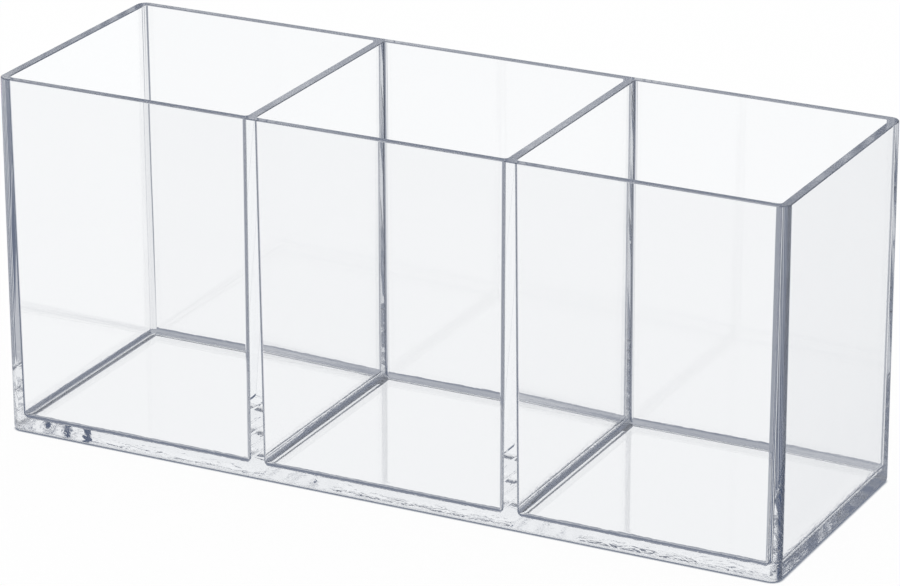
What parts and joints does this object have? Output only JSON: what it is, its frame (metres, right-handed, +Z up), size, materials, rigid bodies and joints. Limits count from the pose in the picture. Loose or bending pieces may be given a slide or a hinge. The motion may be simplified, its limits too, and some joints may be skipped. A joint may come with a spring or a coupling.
{
  "type": "pen holder",
  "caption": "Clear rectangular pen holder, open at the top, with equal square compartments in a row behind one flat front; moulded in one piece, with walls that thicken towards the floor.",
  "frame": {"origin": "middle of the underside, on the surface that the holder stands on", "axes": "+Z up; +X along the row of compartments, to the right as seen from the front; +Y from the front to the back"},
  "size_m": [0.2286, 0.0762, 0.1016],
  "materials": {
    "clear_plastic": "clear, polished in the mould"
  },
  "bodies": {
    "root": {"compartment_box": "clear_plastic"}
  },
  "joints": []
}
